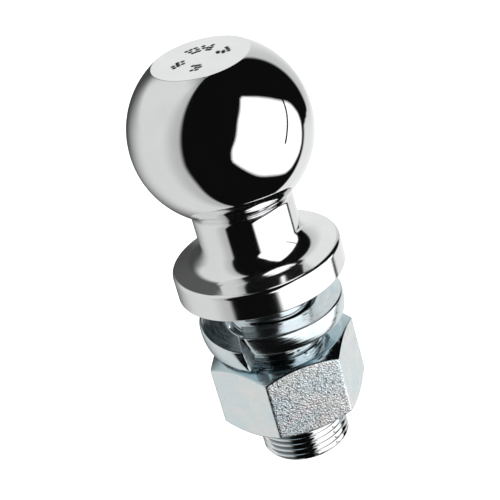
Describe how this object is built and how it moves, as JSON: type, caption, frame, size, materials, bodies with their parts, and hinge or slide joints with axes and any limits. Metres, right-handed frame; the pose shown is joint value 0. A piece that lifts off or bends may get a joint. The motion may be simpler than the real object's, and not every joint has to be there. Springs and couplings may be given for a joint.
{
  "type": "trailer hitch ball",
  "caption": "Trailer hitch ball: a chromed ball stud with a flange and a threaded shank, a split lock washer, and a hex nut that screws along the shank.",
  "frame": {"origin": "centre of the shank's end face, at the bottom of the part", "axes": "+Z along the shank's axis, from the shank's end up through the ball"},
  "size_m": [0.0508, 0.0508, 0.1234],
  "materials": {
    "chrome_plate": "mirror-polished chrome plate on forged steel",
    "zinc_washer": "bright zinc plate with a blue tint, smooth rolled faces",
    "zinc_nut": "satin zinc plate, fine grained, with faint yellow and pink tints"
  },
  "bodies": {
    "stud": {"ball_stud": "chrome_plate"},
    "washer": {"lock_washer": "zinc_washer"},
    "nut": {"hex_nut": "zinc_nut"}
  },
  "joints": [
    {"name": "nut_travel", "type": "slide", "parent": "stud", "child": "washer", "axis": [0, 0, 1], "range_m": [-0.0341, 0.0074]},
    {"name": "nut_turn", "type": "hinge", "parent": "washer", "child": "nut", "pos_m": [0, 0, 0.02391], "axis": [0, 0, 1], "range_deg": [-6745, 1450]}
  ],
  "couplings": [
    {"joint": "nut_travel", "follows": "nut_turn", "m_per_rad": 0.00028875}
  ]
}
